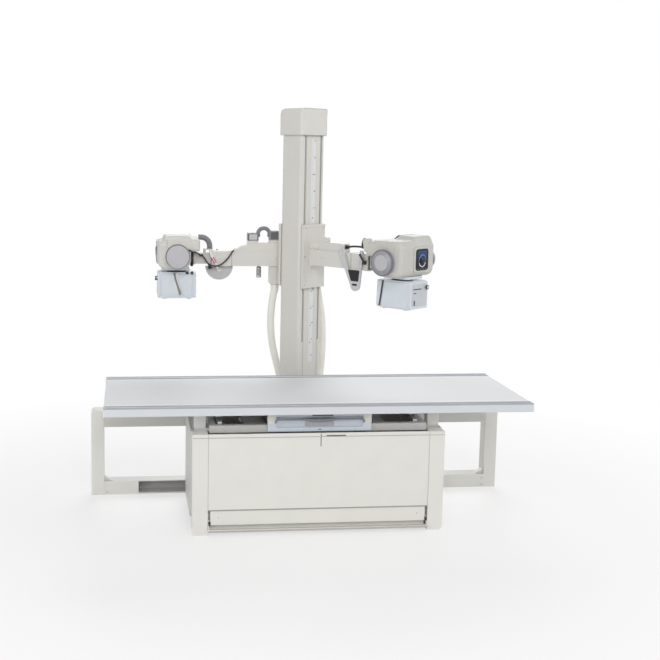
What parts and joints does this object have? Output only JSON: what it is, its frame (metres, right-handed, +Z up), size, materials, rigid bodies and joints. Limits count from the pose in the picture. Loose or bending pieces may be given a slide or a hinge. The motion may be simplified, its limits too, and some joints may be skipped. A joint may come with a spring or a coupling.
{
  "type": "radiography machine",
  "caption": "Radiography room machine: floating tabletop on a lifting pedestal, and a floor-railed column stand with telescopic arms and X-ray tube heads.",
  "frame": {"origin": "on the floor, at the centre of the four floor bolts of the pedestal", "axes": "+X along the table to the right seen from the operator's side, -Y towards the operator, +Z up"},
  "size_m": [2.466, 1.355, 2.289],
  "materials": {
    "white_paint": "satin powder coat, warm white",
    "cool_white": "smooth laminate and moulded covers, slightly bluish white",
    "white_cover": "moulded covers, warm white",
    "grey_paint": "satin paint, pale grey",
    "dark_paint": "matt paint, dark grey",
    "aluminium": "anodised and painted extrusion",
    "head_metal": "cast housing, lilac grey",
    "steel": "ground and plated",
    "iron": "bare casting",
    "black_plastic": "black, fine grain",
    "grey_plastic": "grey, fine grain",
    "white_plastic": "light blue-grey",
    "hose_rubber": "cream white sleeve",
    "cable_rubber": "black sheath",
    "tyre_rubber": "hard dark grey tread"
  },
  "bodies": {
    "base": {"pedestal_base": "dark_paint", "left_leg": "white_paint", "right_leg": "white_paint", "front_panel": "white_cover", "kick_panel": "white_cover", "side_panels": "grey_plastic", "rear_panel": "white_cover", "lift_outer_columns": "dark_paint", "floor_rail": "aluminium", "upper_rail": "aluminium", "end_posts": "white_paint", "rail_fittings": "white_paint"},
    "foot_bar": {"foot_bar": "steel"},
    "lift": {"lift_frame": "grey_paint", "cross_rails": "steel", "lift_inner_columns": "steel"},
    "float": {"float_carriage": "dark_paint", "float_rollers": "steel"},
    "tabletop": {"tabletop_panel": "cool_white", "front_rail": "aluminium", "rear_rail": "aluminium", "slide_rails": "aluminium"},
    "bucky": {"bucky_housing": "grey_plastic"},
    "drawer": {"cassette_tray": "aluminium", "drawer_front": "cool_white"},
    "trolley": {"trolley": "grey_paint"},
    "left_wheel": {"left_wheel": "tyre_rubber"},
    "right_wheel": {"right_wheel": "tyre_rubber"},
    "column": {"column_profile": "aluminium", "column_cap": "white_cover", "scale_strip": "cool_white", "lift_cable": "steel", "left_hose": "hose_rubber", "right_hose": "hose_rubber"},
    "pulley": {"top_pulley": "steel"},
    "counterweight": {"counterweight": "iron"},
    "carriage": {"carriage": "aluminium", "carriage_rollers": "steel", "right_outer_arm": "aluminium", "left_outer_arm": "aluminium", "right_arm_cover": "white_cover", "left_arm_cover": "white_cover", "right_stirrup": "white_plastic", "left_arm_disc": "grey_plastic", "left_cable": "cable_rubber", "right_cable": "cable_rubber"},
    "lock_knob": {"left_lock_knob": "black_plastic"},
    "right_inner": {"right_inner_arm": "aluminium"},
    "left_inner": {"left_inner_arm": "aluminium", "left_elbow": "hose_rubber"},
    "right_head": {"right_tube_housing": "head_metal", "right_head_cover": "white_cover", "right_console": "black_plastic"},
    "left_head": {"left_tube_housing": "head_metal", "left_head_cover": "white_cover", "left_console": "black_plastic"},
    "right_collimator": {"right_collimator": "white_plastic"},
    "left_collimator": {"left_collimator": "white_plastic"},
    "right_knob": {"right_knob": "black_plastic"},
    "left_knob": {"left_knob": "black_plastic"}
  },
  "joints": [
    {"name": "foot_bar_press", "type": "hinge", "parent": "base", "child": "foot_bar", "pos_m": [0, -0.318, 0.072], "axis": [1, 0, 0], "range_deg": [0, 8], "stiffness_Nm_per_rad": 6, "springref_deg": -17.19},
    {"name": "table_lift", "type": "slide", "parent": "base", "child": "lift", "axis": [0, 0, 1], "range_m": [-0.1, 0.14]},
    {"name": "table_cross", "type": "slide", "parent": "lift", "child": "float", "axis": [0, 1, 0], "range_m": [-0.07, 0.07]},
    {"name": "table_along", "type": "slide", "parent": "float", "child": "tabletop", "axis": [1, 0, 0], "range_m": [-0.28, 0.28]},
    {"name": "bucky_travel", "type": "slide", "parent": "lift", "child": "bucky", "axis": [1, 0, 0], "range_m": [-0.24, 0.24]},
    {"name": "drawer_pull", "type": "slide", "parent": "bucky", "child": "drawer", "axis": [0, -1, 0], "range_m": [0, 0.3]},
    {"name": "trolley_travel", "type": "slide", "parent": "base", "child": "trolley", "axis": [1, 0, 0], "range_m": [-0.88, 0.86]},
    {"name": "left_wheel_roll", "type": "hinge", "parent": "trolley", "child": "left_wheel", "pos_m": [-0.105, 0.4525, 0.1153], "axis": [0, 1, 0], "range_deg": [-1445, 1445]},
    {"name": "right_wheel_roll", "type": "hinge", "parent": "trolley", "child": "right_wheel", "pos_m": [0.175, 0.4525, 0.1153], "axis": [0, 1, 0], "range_deg": [-1445, 1445]},
    {"name": "column_swivel", "type": "hinge", "parent": "trolley", "child": "column", "pos_m": [0.035, 0.64, 0.2], "axis": [0, 0, 1], "range_deg": [-75, 75]},
    {"name": "carriage_lift", "type": "slide", "parent": "column", "child": "carriage", "axis": [0, 0, 1], "range_m": [-0.22, 0.5], "deforming": ["left_hose", "right_hose", "lift_cable"]},
    {"name": "counterweight_travel", "type": "slide", "parent": "column", "child": "counterweight", "axis": [0, 0, 1], "range_m": [-0.5, 0.22]},
    {"name": "pulley_spin", "type": "hinge", "parent": "column", "child": "pulley", "pos_m": [0.05557, 0.61549, 2.2], "axis": [0.766, 0.6428, 0], "range_deg": [-900, 400]},
    {"name": "right_arm_extend", "type": "slide", "parent": "carriage", "child": "right_inner", "axis": [0.6428, -0.766, 0], "range_m": [-0.03, 0.2], "deforming": ["right_cable"]},
    {"name": "left_arm_extend", "type": "slide", "parent": "carriage", "child": "left_inner", "axis": [-1, 0, 0], "range_m": [-0.03, 0.2], "deforming": ["left_cable"]},
    {"name": "left_knob_lock", "type": "hinge", "parent": "carriage", "child": "lock_knob", "pos_m": [-0.213, 0.75, 1.33], "axis": [0, 0, 1], "range_deg": [0, 180]},
    {"name": "right_tube_turn", "type": "hinge", "parent": "right_inner", "child": "right_head", "pos_m": [0.45603, 0.13824, 1.407], "axis": [0.6428, -0.766, 0], "range_deg": [-120, 120]},
    {"name": "left_tube_turn", "type": "hinge", "parent": "left_inner", "child": "left_head", "pos_m": [-0.62, 0.75, 1.38], "axis": [-1, 0, 0], "range_deg": [-120, 120], "deforming": ["left_elbow"]},
    {"name": "right_collimator_turn", "type": "hinge", "parent": "right_head", "child": "right_collimator", "pos_m": [0.52159, 0.0601, 1.327], "axis": [0, 0, 1], "range_deg": [-45, 45]},
    {"name": "left_collimator_turn", "type": "hinge", "parent": "left_head", "child": "left_collimator", "pos_m": [-0.722, 0.75, 1.3], "axis": [0, 0, 1], "range_deg": [-45, 45]},
    {"name": "right_field_knob", "type": "hinge", "parent": "right_collimator", "child": "right_knob", "pos_m": [0.64441, 0.01174, 1.289], "axis": [0.6428, -0.766, 0], "range_deg": [-170, 170]},
    {"name": "left_field_knob", "type": "hinge", "parent": "left_collimator", "child": "left_knob", "pos_m": [-0.838, 0.687, 1.262], "axis": [-1, 0, 0], "range_deg": [-170, 170]}
  ],
  "couplings": [
    {"joint": "left_wheel_roll", "follows": "trolley_travel", "rad_per_m": 28.571},
    {"joint": "right_wheel_roll", "follows": "trolley_travel", "rad_per_m": 28.571},
    {"joint": "counterweight_travel", "follows": "carriage_lift", "ratio": -1},
    {"joint": "pulley_spin", "follows": "carriage_lift", "rad_per_m": -31.25}
  ]
}
